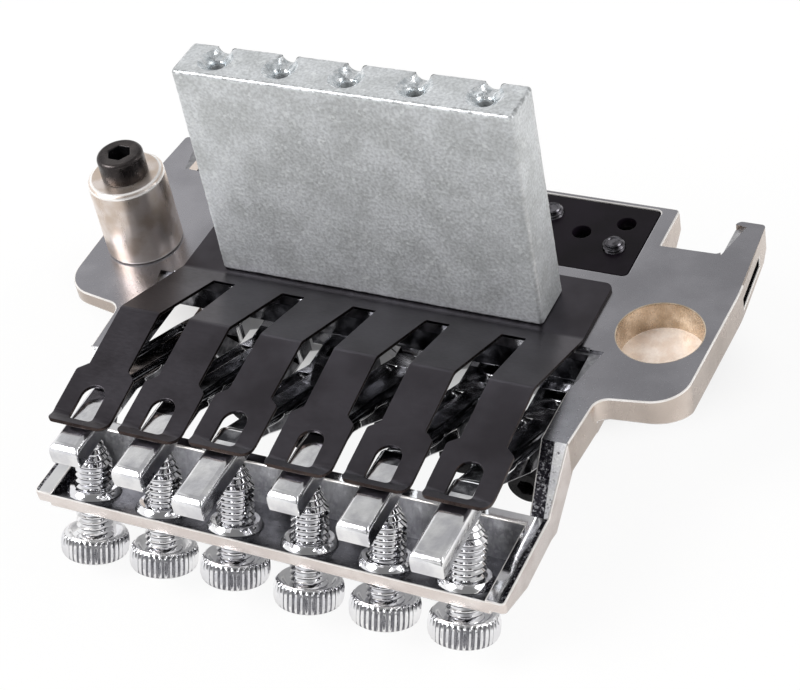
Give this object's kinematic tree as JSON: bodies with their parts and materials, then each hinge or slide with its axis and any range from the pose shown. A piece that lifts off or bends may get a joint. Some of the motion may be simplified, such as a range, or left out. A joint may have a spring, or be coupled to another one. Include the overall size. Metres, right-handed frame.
{
  "type": "guitar tremolo bridge",
  "caption": "Knife-edge guitar tremolo bridge lying underside up: plate with sustain block, fingered leaf spring, rocking string levers, thumb-screw fine tuners and arm socket.",
  "frame": {"origin": "middle of the pivot line through both knife edges", "axes": "+X along the row of fine tuners, +Y toward the guitar's neck, +Z out of the plate's underside, the side the sustain block stands on"},
  "size_m": [0.0924, 0.0736, 0.0536],
  "materials": {
    "satin_nickel": "satin nickel plate on steel, polished edges",
    "hardened_steel": "ground",
    "black_plate": "satin black steel",
    "black_oxide": "black oxide steel",
    "cast_zinc": "raw zinc alloy, mottled",
    "blued_spring": "satin blued spring steel",
    "warm_nickel": "polished nickel",
    "chrome": "polished chrome"
  },
  "bodies": {
    "base": {"base_plate": "satin_nickel", "knife_edge_left": "hardened_steel", "knife_edge_right": "hardened_steel", "saddle_plate": "black_plate", "saddle_screws": "black_oxide", "sustain_block": "cast_zinc", "block_screws": "black_oxide", "leaf_spring": "blued_spring", "arm_socket": "warm_nickel", "arm_socket_nut": "warm_nickel", "arm_socket_screw": "black_oxide", "tuner_bushes": "chrome"},
    "tuner_1": {"fine_tuner_1": "chrome"},
    "saddle_1": {"saddle_1": "chrome", "pivot_pin_1": "hardened_steel"},
    "lever_1": {"lever_1": "chrome"},
    "clamp_1": {"clamp_block_1": "hardened_steel"},
    "lock_1": {"lock_screw_1": "black_oxide"},
    "tuner_2": {"fine_tuner_2": "chrome"},
    "saddle_2": {"saddle_2": "chrome", "pivot_pin_2": "hardened_steel"},
    "lever_2": {"lever_2": "chrome"},
    "clamp_2": {"clamp_block_2": "hardened_steel"},
    "lock_2": {"lock_screw_2": "black_oxide"},
    "tuner_3": {"fine_tuner_3": "chrome"},
    "saddle_3": {"saddle_3": "chrome", "pivot_pin_3": "hardened_steel"},
    "lever_3": {"lever_3": "chrome"},
    "clamp_3": {"clamp_block_3": "hardened_steel"},
    "lock_3": {"lock_screw_3": "black_oxide"},
    "tuner_4": {"fine_tuner_4": "chrome"},
    "saddle_4": {"saddle_4": "chrome", "pivot_pin_4": "hardened_steel"},
    "lever_4": {"lever_4": "chrome"},
    "clamp_4": {"clamp_block_4": "hardened_steel"},
    "lock_4": {"lock_screw_4": "black_oxide"},
    "tuner_5": {"fine_tuner_5": "chrome"},
    "saddle_5": {"saddle_5": "chrome", "pivot_pin_5": "hardened_steel"},
    "lever_5": {"lever_5": "chrome"},
    "clamp_5": {"clamp_block_5": "hardened_steel"},
    "lock_5": {"lock_screw_5": "black_oxide"},
    "tuner_6": {"fine_tuner_6": "chrome"},
    "saddle_6": {"saddle_6": "chrome", "pivot_pin_6": "hardened_steel"},
    "lever_6": {"lever_6": "chrome"},
    "clamp_6": {"clamp_block_6": "hardened_steel"},
    "lock_6": {"lock_screw_6": "black_oxide"}
  },
  "joints": [
    {"name": "tuner_1_travel", "type": "slide", "parent": "base", "child": "tuner_1", "axis": [0, 0.4147, 0.91], "range_m": [-0.002, 0.001]},
    {"name": "saddle_1_intonation", "type": "slide", "parent": "base", "child": "saddle_1", "axis": [0, 1, 0], "range_m": [-0.0015, 0.0015]},
    {"name": "lever_1_rock", "type": "hinge", "parent": "saddle_1", "child": "lever_1", "pos_m": [-0.027, -0.008, -0.01], "axis": [1, 0, 0], "range_deg": [-1.17, 2.33], "deforming": ["leaf_spring"]},
    {"name": "lock_1_travel", "type": "slide", "parent": "lever_1", "child": "lock_1", "axis": [0, 0.9985, 0.055], "range_m": [-0.0012, 0.001]},
    {"name": "clamp_1_travel", "type": "slide", "parent": "lever_1", "child": "clamp_1", "axis": [0, 0.9985, 0.055], "range_m": [-0.0012, 0.001]},
    {"name": "tuner_2_travel", "type": "slide", "parent": "base", "child": "tuner_2", "axis": [0, 0.4147, 0.91], "range_m": [-0.002, 0.001]},
    {"name": "saddle_2_intonation", "type": "slide", "parent": "base", "child": "saddle_2", "axis": [0, 1, 0], "range_m": [-0.0015, 0.0015]},
    {"name": "lever_2_rock", "type": "hinge", "parent": "saddle_2", "child": "lever_2", "pos_m": [-0.0162, -0.01, -0.01], "axis": [1, 0, 0], "range_deg": [-1.24, 2.46], "deforming": ["leaf_spring"]},
    {"name": "lock_2_travel", "type": "slide", "parent": "lever_2", "child": "lock_2", "axis": [0, 0.9991, 0.0432], "range_m": [-0.0012, 0.001]},
    {"name": "clamp_2_travel", "type": "slide", "parent": "lever_2", "child": "clamp_2", "axis": [0, 0.9991, 0.0432], "range_m": [-0.0012, 0.001]},
    {"name": "tuner_3_travel", "type": "slide", "parent": "base", "child": "tuner_3", "axis": [0, 0.4147, 0.91], "range_m": [-0.002, 0.001]},
    {"name": "saddle_3_intonation", "type": "slide", "parent": "base", "child": "saddle_3", "axis": [0, 1, 0], "range_m": [-0.0015, 0.0015]},
    {"name": "lever_3_rock", "type": "hinge", "parent": "saddle_3", "child": "lever_3", "pos_m": [-0.0054, -0.0132, -0.01], "axis": [1, 0, 0], "range_deg": [-1.35, 2.69], "deforming": ["leaf_spring"]},
    {"name": "lock_3_travel", "type": "slide", "parent": "lever_3", "child": "lock_3", "axis": [0, 0.9997, 0.023], "range_m": [-0.0012, 0.001]},
    {"name": "clamp_3_travel", "type": "slide", "parent": "lever_3", "child": "clamp_3", "axis": [0, 0.9997, 0.023], "range_m": [-0.0012, 0.001]},
    {"name": "tuner_4_travel", "type": "slide", "parent": "base", "child": "tuner_4", "axis": [0, 0.4147, 0.91], "range_m": [-0.002, 0.001]},
    {"name": "saddle_4_intonation", "type": "slide", "parent": "base", "child": "saddle_4", "axis": [0, 1, 0], "range_m": [-0.0015, 0.0015]},
    {"name": "lever_4_rock", "type": "hinge", "parent": "saddle_4", "child": "lever_4", "pos_m": [0.0054, -0.0083, -0.01], "axis": [1, 0, 0], "range_deg": [-1.2, 2.37], "deforming": ["leaf_spring"]},
    {"name": "lock_4_travel", "type": "slide", "parent": "lever_4", "child": "lock_4", "axis": [0, 0.9992, 0.0388], "range_m": [-0.0012, 0.001]},
    {"name": "clamp_4_travel", "type": "slide", "parent": "lever_4", "child": "clamp_4", "axis": [0, 0.9992, 0.0388], "range_m": [-0.0012, 0.001]},
    {"name": "tuner_5_travel", "type": "slide", "parent": "base", "child": "tuner_5", "axis": [0, 0.4147, 0.91], "range_m": [-0.002, 0.001]},
    {"name": "saddle_5_intonation", "type": "slide", "parent": "base", "child": "saddle_5", "axis": [0, 1, 0], "range_m": [-0.0015, 0.0015]},
    {"name": "lever_5_rock", "type": "hinge", "parent": "saddle_5", "child": "lever_5", "pos_m": [0.0162, -0.0108, -0.01], "axis": [1, 0, 0], "range_deg": [-1.27, 2.53], "deforming": ["leaf_spring"]},
    {"name": "lock_5_travel", "type": "slide", "parent": "lever_5", "child": "lock_5", "axis": [0, 0.9995, 0.0303], "range_m": [-0.0012, 0.001]},
    {"name": "clamp_5_travel", "type": "slide", "parent": "lever_5", "child": "clamp_5", "axis": [0, 0.9995, 0.0303], "range_m": [-0.0012, 0.001]},
    {"name": "tuner_6_travel", "type": "slide", "parent": "base", "child": "tuner_6", "axis": [0, 0.4147, 0.91], "range_m": [-0.002, 0.001]},
    {"name": "saddle_6_intonation", "type": "slide", "parent": "base", "child": "saddle_6", "axis": [0, 1, 0], "range_m": [-0.0015, 0.0015]},
    {"name": "lever_6_rock", "type": "hinge", "parent": "saddle_6", "child": "lever_6", "pos_m": [0.027, -0.0132, -0.01], "axis": [1, 0, 0], "range_deg": [-1.35, 2.69], "deforming": ["leaf_spring"]},
    {"name": "lock_6_travel", "type": "slide", "parent": "lever_6", "child": "lock_6", "axis": [0, 0.9997, 0.023], "range_m": [-0.0012, 0.001]},
    {"name": "clamp_6_travel", "type": "slide", "parent": "lever_6", "child": "clamp_6", "axis": [0, 0.9997, 0.023], "range_m": [-0.0012, 0.001]}
  ],
  "couplings": [
    {"joint": "lever_1_rock", "follows": "tuner_1_travel", "rad_per_m": -20.149},
    {"joint": "clamp_1_travel", "follows": "lock_1_travel", "ratio": 1},
    {"joint": "lever_2_rock", "follows": "tuner_2_travel", "rad_per_m": -21.274},
    {"joint": "clamp_2_travel", "follows": "lock_2_travel", "ratio": 1},
    {"joint": "lever_3_rock", "follows": "tuner_3_travel", "rad_per_m": -23.305},
    {"joint": "clamp_3_travel", "follows": "lock_3_travel", "ratio": 1},
    {"joint": "lever_4_rock", "follows": "tuner_4_travel", "rad_per_m": -20.516},
    {"joint": "clamp_4_travel", "follows": "lock_4_travel", "ratio": 1},
    {"joint": "lever_5_rock", "follows": "tuner_5_travel", "rad_per_m": -21.867},
    {"joint": "clamp_5_travel", "follows": "lock_5_travel", "ratio": 1},
    {"joint": "lever_6_rock", "follows": "tuner_6_travel", "rad_per_m": -23.305},
    {"joint": "clamp_6_travel", "follows": "lock_6_travel", "ratio": 1}
  ]
}
